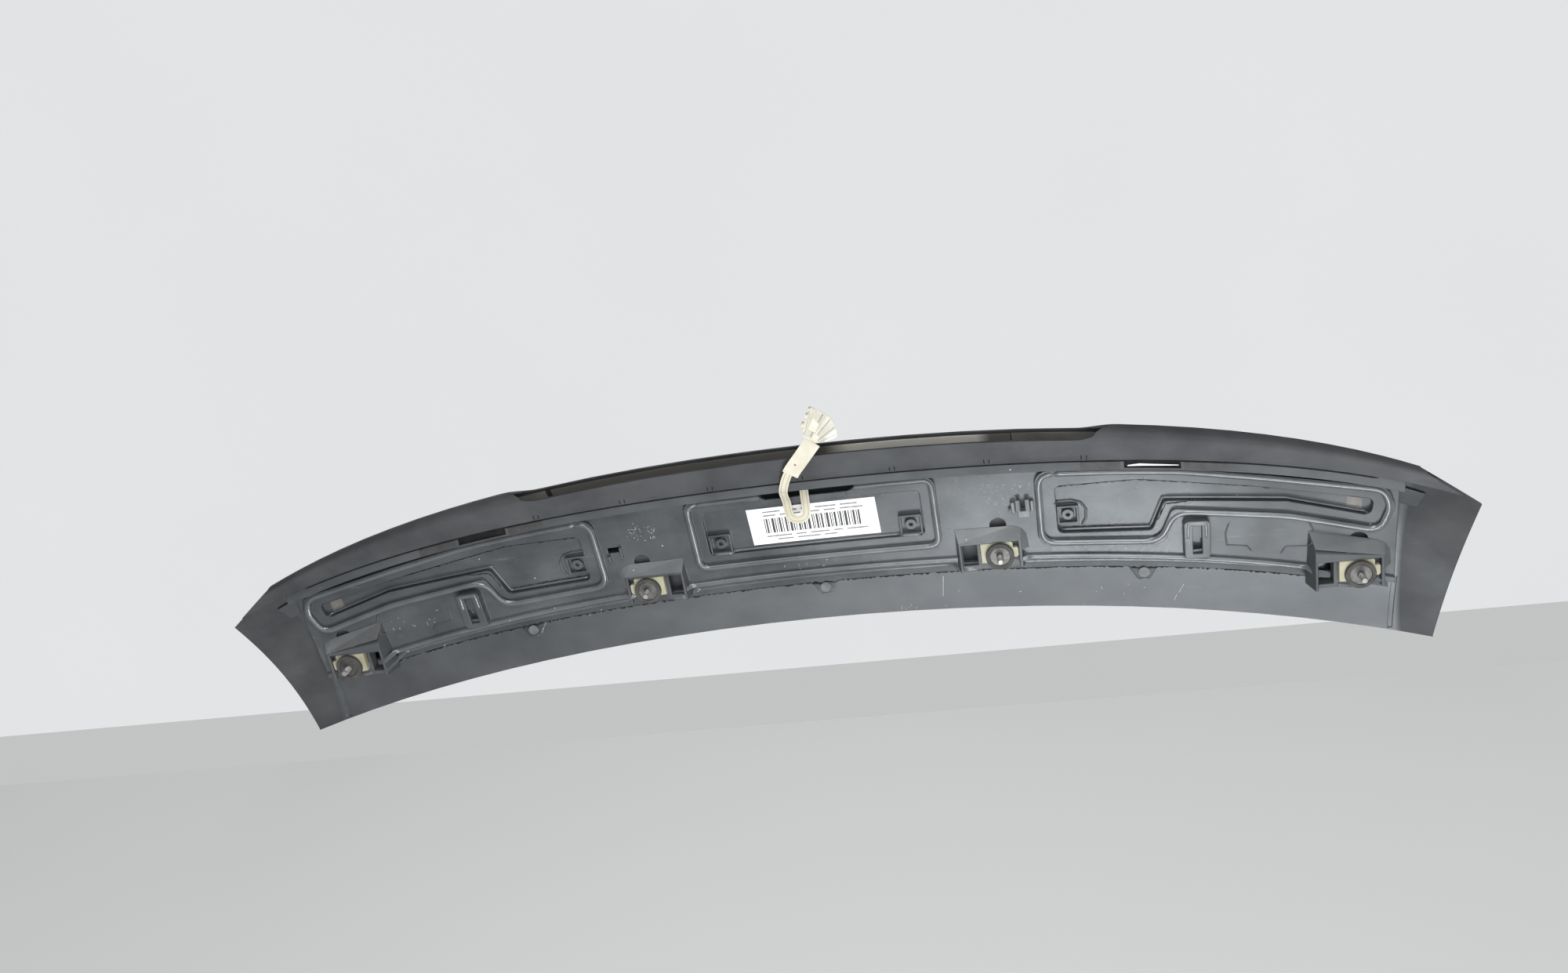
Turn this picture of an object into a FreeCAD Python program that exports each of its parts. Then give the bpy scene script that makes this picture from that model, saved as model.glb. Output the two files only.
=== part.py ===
import FreeCAD, Part
import math
import os

# Tailgate spoiler in its fitted position: +X to the right of the car, +Y forward, +Z up.
# Origin midway between the two inner studs, on the washer faces. Millimetres.

# plan of the skin, as even curves of the station x (unit station 500 mm)
unit_station = 500.0
lead_y0, lead_y2, lead_y4 = 57.7, 38.8, 9.2
trail_y0, trail_y2, trail_y4 = -139.9, 39.4, 24.8
seam_y0, seam_y2, seam_y4 = -105.4, 24.7, 21.3
weld_y0, weld_y2, weld_y4 = 19.7, 25.9, 17.8

# heights of the skin
lead_z0, lead_drop = 26.0, 27.8
trail_z0, trail_drop = -11.4, 27.5
bulge = 20.0
tip_droop = 20.0
tip_x, tip_y = 566.0, -32.0
kink_x, kink_y = 520.0, -67.5
corner_x, corner_y = 545.2, 115.5
end_mid_x, end_mid_y = 562.0, 35.0

skin_t = 3.0
band_depth = 13.0
seam_depth = 10.0
weld_gap = 0.2

# high lamp recess in the rear edge
recess_half = 281.0
recess_sweep = 36.0
recess_setback = 5.0
recess_lip = 10.5
recess_clear = 0.4

# inner shell
shell_t = 2.5
base_z0, base_pitch, base_drop = 15.0, 0.14, 42.85
shell_half = 508.0
flange_w = 10.5
wall_run = 4.0
bead_h, bead_w = 2.5, 5.0
slot_x0, slot_x1, slot_in, slot_w = 284.0, 331.0, 2.5, 6.5
rim_h, rim_w = 3.0, 6.0
pocket_depth = 6.0
centre_depth = 4.0

# fasteners
inner_x, inner_y, inner_z = 169.3, 0.0, 0.0
outer_x, outer_y, outer_z = 477.1, 35.1, -34.1
stud_r, stud_out = 3.0, 12.0
neck_r = 2.7
stud_head_r, stud_head_t = 6.0, 1.4
washer_r, washer_t = 9.0, 1.6
seal_r, seal_t, seal_proud = 13.0, 3.6, 0.6
hole_clear = 0.2
seal_clear = 0.3
clip_w, clip_l, clip_t = 35.0, 27.0, 5.6
clip_clear = 0.3
tower_back = 22.0
tower_wall = 3.0
outer_slant = 0.2

# film and label
film_t = 0.5
film_in, film_w = 8.5, 9.0
label_t = 0.3
glue_gap = 0.2

V = FreeCAD.Vector
stations = [-575.0 + 1150.0 * i / 28 for i in range(29)]


def even(x, c0, c2, c4):
    u = (x / unit_station) ** 2
    return c0 + c2 * u + c4 * u * u


def lead_y(x):
    return even(x, lead_y0, lead_y2, lead_y4)


def lead_z(x):
    return lead_z0 - lead_drop * (x / unit_station) ** 2


def trail_y(x):
    return even(x, trail_y0, trail_y2, trail_y4)


def trail_z(x):
    return trail_z0 - trail_drop * (x / unit_station) ** 2 - tip_droop * (abs(x) / tip_x) ** 12


def seam_y(x):
    return even(x, seam_y0, seam_y2, seam_y4)


def fade(x):
    return 1.0 - 0.45 * (abs(x) / 575.0) ** 8


def seam_z(x):
    return trail_z(x) - seam_depth * fade(x)


def weld_y(x):
    return even(x, weld_y0, weld_y2, weld_y4)


def skin_z(x, y):
    s = (lead_y(x) - y) / (lead_y(x) - trail_y(x))
    return lead_z(x) + (trail_z(x) - lead_z(x)) * s + 4.0 * bulge * s * (1.0 - s)


def base_z(x, y):
    return base_z0 + base_pitch * y - base_drop * (x / unit_station) ** 2


def sheet(rows):
    surface = Part.BSplineSurface()
    surface.interpolate(rows)
    return surface.toShape()


def skin_face():
    rows = []
    for x in stations:
        front = lead_y(x)
        span = front - trail_y(x)
        rows.append([V(x, front - span * j / 10.0, skin_z(x, front - span * j / 10.0)) for j in range(11)])
    return sheet(rows)


skin_top = skin_face()
base_face = sheet([[V(x, y, base_z(x, y)) for y in (-120, -80, -40, 0, 40, 80)]
                   for x in [-525 + 1050 * i / 20 for i in range(21)]])


def layer(face, z0, z1):
    low = face.copy()
    low.translate(V(0, 0, z0))
    return low.extrude(V(0, 0, z1 - z0))


def rounded(points, radius):
    edges = []
    ends = []
    n = len(points)
    for i in range(n):
        p, a, b = V(*points[i], 0), V(*points[i - 1], 0), V(*points[(i + 1) % n], 0)
        da, db = (a - p).normalize(), (b - p).normalize()
        half = da.getAngle(db) / 2.0
        cut = min(radius / math.tan(half), 0.45 * min((a - p0).Length for a, p0 in ((a, p), (b, p))))
        r = cut * math.tan(half)
        start, stop = p + da * cut, p + db * cut
        bis = (da + db).normalize()
        centre = p + bis * (r / math.sin(half))
        ends.append((start, centre - bis * r, stop))
    for i in range(n):
        start, mid, stop = ends[i]
        edges.append(Part.Arc(start, mid, stop).toShape())
        edges.append(Part.LineSegment(stop, ends[(i + 1) % n][0]).toShape())
    return Part.Wire(edges)


def prism(points, radius=0.0, z0=-120.0, z1=80.0):
    if radius > 0:
        wire = rounded(points, radius)
    else:
        wire = Part.makePolygon([V(x, y, 0) for x, y in points + points[:1]])
    face = Part.Face(wire)
    face.translate(V(0, 0, z0))
    return face.extrude(V(0, 0, z1 - z0))


def inset(points, d):
    area = sum(points[i - 1][0] * points[i][1] - points[i][0] * points[i - 1][1] for i in range(len(points)))
    turn = 1.0 if area > 0 else -1.0
    out = []
    n = len(points)
    for i in range(n):
        p, a, b = V(*points[i], 0), V(*points[i - 1], 0), V(*points[(i + 1) % n], 0)
        e1, e2 = (p - a).normalize(), (b - p).normalize()
        n1, n2 = V(-e1.y, e1.x, 0) * turn, V(-e2.y, e2.x, 0) * turn
        m = n1 + n2
        q = p + m * (2.0 * d / m.Length ** 2)
        out.append((q.x, q.y))
    return out


def box(x0, x1, y0, y1, z0, z1):
    return Part.makeBox(x1 - x0, y1 - y0, z1 - z0, V(x0, y0, z0))


def rod(x, y, z0, z1, r):
    return Part.makeCylinder(r, z1 - z0, V(x, y, z0))


def one(shape):
    shape = shape.removeSplitter()
    solids = shape.Solids
    return solids[0] if len(solids) == 1 else Part.makeCompound(solids)


pieces = {}

# outer skin: one moulded section, top sheet and folded rear band, carried across the car
def spline(points):
    curve = Part.BSplineCurve()
    curve.interpolate(points)
    return curve.toShape()


def skin_section(x):
    y0, z0, y1 = trail_y(x), trail_z(x), lead_y(x)
    w, low = seam_y(x) - y0, band_depth * fade(x)
    top = [V(x, y1 + (y0 - y1) * j / 10.0, skin_z(x, y1 + (y0 - y1) * j / 10.0)) for j in range(11)]
    outer = [V(x, y0, z0 - skin_t),
             V(x, y0 + 0.04 * w, z0 - skin_t - 0.55 * (low - skin_t)),
             V(x, y0 + 0.17 * w, z0 - low),
             V(x, y0 + 0.55 * w, z0 - 0.96 * low),
             V(x, y0 + w, seam_z(x))]
    nook = y0 + 1.1 * skin_t
    inner = [V(x, y0 + w, seam_z(x) + skin_t),
             V(x, y0 + 0.55 * w, z0 - 0.96 * low + skin_t),
             V(x, y0 + 0.17 * w + 0.6 * skin_t, z0 - low + skin_t),
             V(x, nook, skin_z(x, nook) - skin_t)]
    under = [V(x, nook + (y1 - nook) * j / 9.0, skin_z(x, nook + (y1 - nook) * j / 9.0) - skin_t)
             for j in range(10)]
    return Part.Wire([spline(top), Part.makeLine(top[-1], outer[0]), spline(outer),
                      Part.makeLine(outer[-1], inner[0]), spline(inner), spline(under),
                      Part.makeLine(under[-1], top[0])])


skin = Part.makeLoft([skin_section(x) for x in stations], True, False)


def sweep(x):
    t = min(max((abs(x) - recess_half + recess_sweep) / recess_sweep, 0.0), 1.0)
    return 0.02 + 0.49 * (1.0 + math.cos(math.pi * t))


def recess_cut(y_front, low, high):
    half = [recess_half - recess_sweep * (1.0 - i / 8.0) for i in range(9)]
    row = [-x for x in half[::-1]] + [half[0] * i / 5.0 for i in range(-4, 5)] + half
    rings = []
    for x in row:
        y0, y1 = trail_y(x) - 12.0, trail_y(x) + y_front * sweep(x)
        z0, z1 = trail_z(x) - skin_t - low * sweep(x), trail_z(x) - skin_t + high
        rings.append(Part.makePolygon([V(x, y0, z0), V(x, y1, z0), V(x, y1, z1), V(x, y0, z1), V(x, y0, z0)]))
    return Part.makeLoft(rings, True, True)


opening = recess_cut(recess_lip, band_depth - skin_t + 6.0, -recess_clear)
setback = recess_cut(recess_setback, 2.0, skin_t + 12.0)
skin = skin.cut(opening).cut(setback)

end_arc = Part.Arc(V(corner_x, corner_y, 0), V(end_mid_x, end_mid_y, 0), V(tip_x, tip_y, 0)).toShape()
right_side = [end_arc,
              Part.LineSegment(V(tip_x, tip_y, 0), V(kink_x, kink_y, 0)).toShape(),
              Part.LineSegment(V(kink_x, kink_y, 0), V(kink_x - 25, -170, 0)).toShape()]
mirror_x = [e.mirror(V(0, 0, 0), V(1, 0, 0)) for e in right_side]
closing = [Part.LineSegment(V(kink_x - 25, -170, 0), V(25 - kink_x, -170, 0)).toShape(),
           Part.LineSegment(V(corner_x, corner_y, 0), V(corner_x, 160, 0)).toShape(),
           Part.LineSegment(V(corner_x, 160, 0), V(-corner_x, 160, 0)).toShape(),
           Part.LineSegment(V(-corner_x, 160, 0), V(-corner_x, corner_y, 0)).toShape()]
outline = Part.Wire(Part.__sortEdges__(right_side + mirror_x + closing))
plan = Part.Face(outline)
plan.translate(V(0, 0, -150))
skin = skin.common(plan.extrude(V(0, 0, 300)))

for side in (1, -1):
    line = [(side * x, y) for x, y in ((512.5, 56), (516.5, 56), (511.5, 106), (507.5, 106))]
    groove = prism(line).common(layer(skin_top, -skin_t - 1.0, -skin_t + 1.0))
    skin = skin.cut(groove)
pieces["outer_skin"] = one(skin)

# inner shell: folded section lofted across the car
def section(x):
    rear, front = seam_y(x), weld_y(x)
    flange = seam_z(x) + skin_t + weld_gap
    rim = skin_z(x, front) - skin_t - weld_gap - shell_t
    knee = skin_z(x, front - 7) - skin_t - weld_gap - shell_t
    bead = front - 20.0
    face = [(rear - 6, flange), (rear + flange_w, flange)]
    y = rear + flange_w + wall_run
    face.append((y, base_z(x, y)))
    for y, up in ((bead - 1.5, 0), (bead, bead_h), (bead + bead_w, bead_h), (bead + bead_w + 1.5, 0)):
        face.append((y, base_z(x, y) - up))
    face += [(front - 7, knee), (front, rim)]
    back = []
    n = len(face)
    for i in range(n):
        p = V(0, *face[i])
        e1 = (p - V(0, *face[i - 1])).normalize() if i else None
        e2 = (V(0, *face[i + 1]) - p).normalize() if i < n - 1 else None
        e1 = e1 or e2
        e2 = e2 or e1
        m = V(0, -e1.z, e1.y) + V(0, -e2.z, e2.y)
        q = p + m * (2.0 * shell_t / m.Length ** 2)
        back.append((q.y, q.z))
    ring = face + back[::-1]
    return Part.makePolygon([V(x, y, z) for y, z in ring + ring[:1]])


shell_stations = [-shell_half + 2.0 * shell_half * i / 22 for i in range(23)]
shell = Part.makeLoft([section(x) for x in shell_stations], True, False)


def end_wall(side):
    walls = []
    for x in (shell_half - shell_t, shell_half):
        y0, y1 = seam_y(x) + flange_w + wall_run, weld_y(x) - 7
        ring = [(y, base_z(x, y) + shell_t / 2) for y in (y0 + 1.0, weld_y(x) - 14)]
        for j in range(7):
            y = y1 + (y0 - y1) * j / 6.0
            ring.append((y, skin_z(x, y) - skin_t - weld_gap))
        walls.append(Part.makePolygon([V(side * x, y, z) for y, z in ring + ring[:1]]))
    return Part.makeLoft(walls, True, True)


adds = [end_wall(1), end_wall(-1)]
cuts = []
trims = []


def pocket(floor, depth, radius):
    outer = prism(inset(floor, -shell_t), radius + shell_t).common(layer(base_face, 0.0, depth + shell_t))
    inner = prism(floor, radius).common(layer(base_face, -30.0, depth))
    adds.append(outer)
    cuts.append(inner)


def rim(points, radius):
    ring = prism(points, radius).cut(prism(inset(points, rim_w), max(radius - rim_w, 1.5)))
    adds.append(ring.common(layer(base_face, -rim_h, 1.0)))


side_rim = [(207, -84), (206, -5), (316, 1), (328, -29), (420, -19), (496, 0), (505, -28), (498, -47),
            (404, -64), (330, -76), (280, -80)]
side_floor = [(224, -66), (224, -16), (307, -13), (318, -43), (420, -36), (487, -18), (489, -35),
              (392, -53), (296, -67)]
for side in (1, -1):
    rim([(side * x, y) for x, y in side_rim], 12)
    pocket([(side * x, y) for x, y in side_floor], pocket_depth, 6)
centre_rim = [(-118, -88), (-118, -11), (118, -11), (118, -88)]
centre_floor = [(-103, -74), (-103, -26), (103, -26), (103, -74)]
rim(centre_rim, 10)
pocket(centre_floor, centre_depth, 5)


def boss(x, y, depth, half, r):
    frame = box(x - half, x + half, y - half, y + half, -90, 60)
    frame = frame.cut(box(x - half + 1.8, x + half - 1.8, y - half + 1.8, y + half - 1.8, -95, 65))
    trims.append(frame.common(layer(base_face, depth - 4.5, depth + 1.0)))
    trims.append(rod(x, y, -90, 60, r).cut(rod(x, y, -95, 65, 1.8)).common(layer(base_face, depth - 3.5, depth + 1.0)))


for side in (1, -1):
    boss(side * 234, -34, pocket_depth, 9.5, 5.5)
    boss(side * 91, -38, centre_depth, 10.5, 5.5)

# sockets
for side in (1, -1):
    x0, x1 = sorted((side * 333, side * 355))
    block = prism([(x0, -24), (x1, -24), (x1, 15), (x0, 15)], 4).common(layer(base_face, -9.0, 1.0))
    adds.append(block)
    s0, s1 = sorted((side * 340, side * 348))
    cuts.append(box(s0, s1, -19, 10, -80, 30).common(layer(base_face, -20.0, -1.0)))

# towers that hold the slide-in clips, open toward the middle of the car
fasteners = []
for x, y, z, place in ((inner_x, inner_y, inner_z, "inner"), (outer_x, outer_y, outer_z, "outer")):
    for side, hand in ((-1, "left"), (1, "right")):
        fasteners.append((side * x, y, z, side, hand + "_" + place))


def tower(x, y, z, side, slant):
    top_z = z + seal_t - seal_proud - 1.0
    low_z = base_z(x, y) + 9.0
    rings = []
    for zz, grow, back in ((top_z, 0.0, 0.0), (low_z, 4.0, tower_back)):
        x0, x1 = x - side * (37.0 + grow), x + side * (20.5 + grow)
        y0, y1 = y - clip_l / 2 - 2.5 - back, y + clip_l / 2 + grow / 2
        ya = y0 - slant * (37.0 + grow)
        rings.append(Part.makePolygon([V(x0, ya, zz), V(x1, y0, zz), V(x1, y1, zz), V(x0, y1, zz), V(x0, ya, zz)]))
    body = Part.makeLoft(rings, True, True).common(layer(base_face, -40.0, 1.0))
    adds.append(body)
    x0, x1 = sorted((x - side * 35.0, x + side * (clip_w / 2 + clip_clear)))
    floor_z = z + seal_t - seal_proud + clip_t + clip_clear
    cuts.append(box(x0, x1, y - clip_l / 2 - clip_clear, y + 40, z - 10, floor_z))
    w0, w1 = sorted((x - side * (37.0 - tower_wall), x - side * (clip_w / 2 + tower_wall)))
    cuts.append(box(w0, w1, y - clip_l / 2 + tower_wall, y + clip_l / 2 - tower_wall, z - 10, 40))
    cuts.append(rod(x + side * 1.0, y - 29.5, -80, 40, 7.5))
    if slant > 0:
        knob = rod(x - side * 9.0, y - clip_l / 2 - 5.0, top_z + 1.0, low_z, 4.0)
        adds.append(knob.common(layer(base_face, -40.0, 1.0)))


for x, y, z, side, name in fasteners:
    tower(x, y, z, side, outer_slant if "outer" in name else 0.0)

# slit for the film lead, with a shallow lens-shaped hollow in front of it
cuts.append(prism([(-47, -89), (49, -89), (38, -80.5), (-40, -80.5)]))

# slots in the flange, seat of the locating clip broken off on the left
slot_line = [slot_x0 + (slot_x1 - slot_x0) * i / 3.0 for i in range(4)]
slot_plan = [(x, seam_y(x) + slot_in) for x in slot_line]
slot_plan += [(x, seam_y(x) + slot_in + slot_w) for x in slot_line[::-1]]
for side in (1, -1):
    cuts.append(prism([(side * x, y) for x, y in slot_plan]))
cuts.append(box(-200, -189, -49, -43, -60, 40))
for x0, x1, y0, y1 in ((-201, -198, -41, -34), (-188, -186, -49, -36)):
    adds.append(box(x0, x1, y0, y1, -60, 40).common(layer(base_face, -3.5, 1.0)))


def skin_under(points, radius, z0, z1):
    return prism(points, radius).common(layer(skin_top, z0 - skin_t - weld_gap, z1 - skin_t - weld_gap))


# ears welded under the skin and the pads at the ends of the flange
tabs = []
for tab_x in (-299, 0, 299):
    y = weld_y(tab_x)
    adds.append(skin_under([(tab_x - 15, y - 3), (tab_x - 5, y + 13), (tab_x + 5, y + 13), (tab_x + 15, y - 3)],
                           3.0, -shell_t, 0.0))
    tabs.append((tab_x, y + 5.5))
for side in (1, -1):
    ear = [(side * x, y) for x, y in ((500, -30), (507, -46), (528, -38), (524, -22))]
    adds.append(skin_under(ear, 2.0, -shell_t, 0.0))

solid = shell
for a in adds:
    solid = solid.fuse(a)
for c in cuts:
    solid = solid.cut(c)
for a in trims:
    solid = solid.fuse(a)
pieces["inner_shell"] = one(solid)

# stakes in the three ears
stakes = []
for x, y in tabs:
    face_low = -skin_t - weld_gap - shell_t
    stakes.append(rod(x, y, -60, 60, 5.0).common(layer(skin_top, face_low - 1.6, face_low)))
pieces["weld_stakes"] = Part.makeCompound([s.Solids[0] for s in stakes])

# clips, studs, washers and sealing rings
for x, y, z, side, name in fasteners:
    back = z + seal_t - seal_proud
    x0, x1 = x - clip_w / 2, x + clip_w / 2
    plate = box(x0, x1, y - clip_l / 2, y + clip_l / 2, back, back + clip_t)
    plate = plate.makeFillet(2.0, [e for e in plate.Edges if abs(e.tangentAt(0).z) > 0.9])
    head_z = z + washer_t
    plate = plate.cut(rod(x, y, back - 1, back + clip_t + 1, stud_r + hole_clear))
    plate = plate.cut(rod(x, y, back - 1, head_z + stud_head_t, stud_head_r + hole_clear))
    pieces["clip_" + name] = one(plate)
    stud = rod(x, y, z - stud_out + 0.8, z, stud_r).fuse(rod(x, y, z - 0.5, back + clip_t - 0.6, neck_r))
    tip = Part.makeCone(stud_r - 0.8, stud_r, 0.8, V(x, y, z - stud_out))
    stud = stud.fuse(tip).fuse(rod(x, y, head_z, head_z + stud_head_t, stud_head_r))
    pieces["stud_" + name] = one(stud)
    pieces["washer_" + name] = rod(x, y, z, z + washer_t, washer_r).cut(
        rod(x, y, z - 1, z + washer_t + 1, stud_r + hole_clear))
    ring = rod(x, y, z - seal_proud, back, seal_r).cut(rod(x, y, z - 2, back + 1, washer_r + seal_clear))
    pieces["seal_" + name] = ring.makeFillet(0.8, [e for e in ring.Edges if abs(e.CenterOfMass.z - z + seal_proud) < 0.01
                                                   and abs(e.Length - 2 * math.pi * seal_r) < 0.1])

# locating clip on the right: block, two prongs, side pins
clip = box(186, 200, -47, -40, -30, 30).common(layer(base_face, -9.0, 0.0))
for x0 in (187.0, 195.0):
    clip = clip.fuse(box(x0, x0 + 4.0, -57, -46.5, -30, 30).common(layer(base_face, -9.0, -3.0)))
pin = Part.makeCylinder(1.3, 24.0, V(181, -44, base_z(193, -44) - 4.0), V(1, 0, 0))
pieces["locating_clip_right"] = one(clip.fuse(pin))

# antenna film under the rear edge of the skin
film_line = [-235 + 425.0 * i / 8 for i in range(9)]
film_plan = [(x, trail_y(x) + film_in) for x in film_line] + [(x, trail_y(x) + film_in + film_w) for x in film_line[::-1]]
pieces["antenna_film"] = one(prism(film_plan).common(layer(skin_top, -skin_t - glue_gap - film_t, -skin_t - glue_gap)))

# label on the floor of the centre pocket
label_plan = [(-61, -70), (61, -70), (62, -31), (-60, -31)]
pieces["label"] = one(prism(label_plan).common(layer(base_face, centre_depth - glue_gap - label_t, centre_depth - glue_gap)))

# flat printed lead: out of the slit, round a turn in its own plane, over the flange and the rear band
lead_t = 0.5
turn_x, turn_y, turn_r, lead_w = -11.0, -70.0, 8.5, 8.0
lead_z = 0.8
end_x, end_y, end_w = 17.0, -146.0, 15.0
away = V(0.523, -0.852, 0).normalize()
across = V(-away.y, away.x, 0)


def strip(profile, x0, x1):
    runs = [V(x0, y, z) for y, z in profile]
    edges = []
    here = runs[0]
    for i in range(1, len(runs) - 1):
        p = runs[i]
        da, db = (runs[i - 1] - p), (runs[i + 1] - p)
        cut = 0.45 * min(da.Length, db.Length)
        da, db = da.normalize(), db.normalize()
        half = da.getAngle(db) / 2.0
        bis = (da + db).normalize()
        r = cut * math.tan(half)
        mid = p + bis * (r / math.sin(half) - r)
        start, stop = p + da * cut, p + db * cut
        edges.append(Part.makeLine(here, start))
        edges.append(Part.Arc(start, mid, stop).toShape())
        here = stop
        print("lead radius", round(r, 1))
    edges.append(Part.makeLine(here, runs[-1]))
    path = Part.Wire(edges)
    return path.extrude(V(x1 - x0, 0, 0)).extrude(V(0, 0, lead_t))


flat_run = strip([(turn_y + 16, lead_z), (turn_y, lead_z), (-88, lead_z + 3.8)], turn_x - 15, turn_x + 15)
rise_run = strip([(turn_y, lead_z), (-78, lead_z - 1.5), (-97, -22.5), (-119, -29.5), (-136, -31.5), (-156, -32.5)],
                 -40, 40)
turn = rod(turn_x, turn_y, -20, 30, turn_r + lead_w / 2).cut(rod(turn_x, turn_y, -25, 35, turn_r - lead_w / 2))
turn = turn.common(box(turn_x - 20, turn_x + 20, turn_y, turn_y + 20, -20, 30))
leg_x = turn_x + turn_r - lead_w / 2
exit_leg = box(leg_x, leg_x + lead_w, -88, turn_y, -20, 30)
left_x = turn_x - turn_r - lead_w / 2
stop = V(end_x, end_y, 0)
stop_left, stop_right = stop - across * (end_w / 2), stop + across * (end_w / 2)
long_plan = [(left_x, turn_y), (left_x + 0.5, -92), (left_x + 6, -112), (left_x + 13, -124), (-1, -136),
             (stop_left.x, stop_left.y), (stop_right.x, stop_right.y), (15.5, -130), (5, -118), (-4, -116.5),
             (-9.5, -108), (left_x + lead_w + 0.8, -90), (left_x + lead_w, turn_y)]
lead = turn.fuse(exit_leg).common(flat_run).fuse(prism(long_plan).common(rise_run))
pieces["film_lead"] = one(lead)

# connector on the end of the lead
plug_l, plug_w, plug_t, plug_shift = 30.0, 27.0, 8.0, -1.5
plug_z = -32.6
plug = Part.makeBox(plug_w, plug_l, plug_t, V(-plug_w / 2 + plug_shift, 0, -plug_t / 2))
plug = plug.makeFillet(2.0, [e for e in plug.Edges if e.Length > plug_t + 1 and e.CenterOfMass.y > 1.0])
plug.Placement = FreeCAD.Placement(stop + V(0, 0, plug_z),
                                   FreeCAD.Rotation(across, away, V(0, 0, 1), "XYZ"))
pieces["lead_connector"] = one(plug.cut(pieces["film_lead"]))

os.makedirs("parts", exist_ok=True)
for name, shape in pieces.items():
    shape.exportStep("parts/" + name + ".step")
    print(name, shape.ShapeType, len(shape.Solids), "valid", shape.isValid(), "volume", round(shape.Volume))
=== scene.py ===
import math
import random
import bpy
import bmesh
from mathutils import Matrix, Vector
from mathutils.bvhtree import BVHTree


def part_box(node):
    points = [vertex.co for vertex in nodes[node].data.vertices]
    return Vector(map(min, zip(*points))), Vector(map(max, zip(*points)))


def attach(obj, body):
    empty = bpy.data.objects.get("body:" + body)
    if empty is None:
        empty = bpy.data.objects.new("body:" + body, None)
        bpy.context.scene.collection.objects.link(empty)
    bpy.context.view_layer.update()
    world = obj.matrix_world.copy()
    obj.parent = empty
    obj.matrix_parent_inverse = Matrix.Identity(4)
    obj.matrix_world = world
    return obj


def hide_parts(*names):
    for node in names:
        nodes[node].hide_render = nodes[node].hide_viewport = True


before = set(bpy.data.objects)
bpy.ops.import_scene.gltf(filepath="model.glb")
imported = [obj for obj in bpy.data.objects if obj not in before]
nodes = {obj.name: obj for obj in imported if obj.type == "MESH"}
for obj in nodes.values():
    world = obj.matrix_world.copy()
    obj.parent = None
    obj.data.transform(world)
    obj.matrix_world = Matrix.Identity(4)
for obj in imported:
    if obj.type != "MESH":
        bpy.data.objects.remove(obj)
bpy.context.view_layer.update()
scene = bpy.context.scene
mm = 0.001  # shapes are in millimetres, materials and lights in metres
print("stage: frame loaded")

camera = {"place": (180.13, -531.45, -1111.45), "right": (0.98043, 0.16177, 0.1122),
          "down": (-0.10783, 0.91808, -0.38144), "ahead": (-0.16472, 0.36187, 0.91756),
          "lens": 30.11, "sensor": 36.0}
camData = bpy.data.cameras.new("camera")
camData.lens = camera["lens"]
camData.sensor_width = camera["sensor"]
camObj = bpy.data.objects.new("camera", camData)
scene.collection.objects.link(camObj)
camUp = [-v for v in camera["down"]]
camBack = [-v for v in camera["ahead"]]
camTurn = Matrix((camera["right"], camUp, camBack)).transposed()
camObj.matrix_world = Matrix.Translation(Vector(camera["place"]) * mm) @ camTurn.to_4x4()
scene.camera = camObj


def shaderOf(mat):
    tree = mat.node_tree
    return tree, tree.nodes["Principled BSDF"]


def newMat(name):
    mat = bpy.data.materials.new(name)
    mat.use_nodes = True
    tree, bsdf = shaderOf(mat)
    return mat, tree, bsdf


def node(tree, kind, **values):
    n = tree.nodes.new(kind)
    for key, value in values.items():
        if key in n.inputs:
            n.inputs[key].default_value = value
        else:
            setattr(n, key, value)
    return n


def math2(tree, op, a, b):
    n = tree.nodes.new("ShaderNodeMath")
    n.operation = op
    for i, v in enumerate((a, b)):
        if isinstance(v, (int, float)):
            n.inputs[i].default_value = v
        else:
            tree.links.new(v, n.inputs[i])
    return n.outputs[0]


def objectCoord(tree, stretch=(1, 1, 1)):
    coord = tree.nodes.new("ShaderNodeTexCoord")
    scale = node(tree, "ShaderNodeMapping")
    scale.inputs["Scale"].default_value = stretch
    tree.links.new(coord.outputs["Object"], scale.inputs["Vector"])
    return scale.outputs[0]


def objectAxes(tree):
    coord = tree.nodes.new("ShaderNodeTexCoord")
    sep = tree.nodes.new("ShaderNodeSeparateXYZ")
    tree.links.new(coord.outputs["Object"], sep.inputs[0])
    return sep.outputs[0], sep.outputs[1]


def noise(tree, scale, detail=4.0, stretch=(1, 1, 1), rough=0.55):
    n = node(tree, "ShaderNodeTexNoise", Scale=scale, Detail=detail, Roughness=rough)
    tree.links.new(objectCoord(tree, stretch), n.inputs["Vector"])
    return n.outputs["Fac"]


def ramp(tree, fac, dark, light):
    n = tree.nodes.new("ShaderNodeValToRGB")
    for stop, (place, color) in zip(n.color_ramp.elements, (dark, light)):
        stop.position = place
        stop.color = tuple(color) + (1.0,)
    tree.links.new(fac, n.inputs["Fac"])
    return n.outputs["Color"]


mixSockets = {"fac": 0, "a": 6, "b": 7, "out": 2}  # of the mix node in colour mode


def mixColor(tree, fac, a, b):
    n = tree.nodes.new("ShaderNodeMix")
    n.data_type = "RGBA"
    for key, v in (("fac", fac), ("a", a), ("b", b)):
        socket = n.inputs[mixSockets[key]]
        if isinstance(v, tuple):
            socket.default_value = v + (1.0,)
        else:
            tree.links.new(v, socket)
    return n.outputs[mixSockets["out"]]


def remap(tree, value, a0, a1, b0, b1):
    n = tree.nodes.new("ShaderNodeMapRange")
    for i, v in enumerate((a0, a1, b0, b1)):
        n.inputs[i + 1].default_value = v
    tree.links.new(value, n.inputs[0])
    return n.outputs[0]


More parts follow.
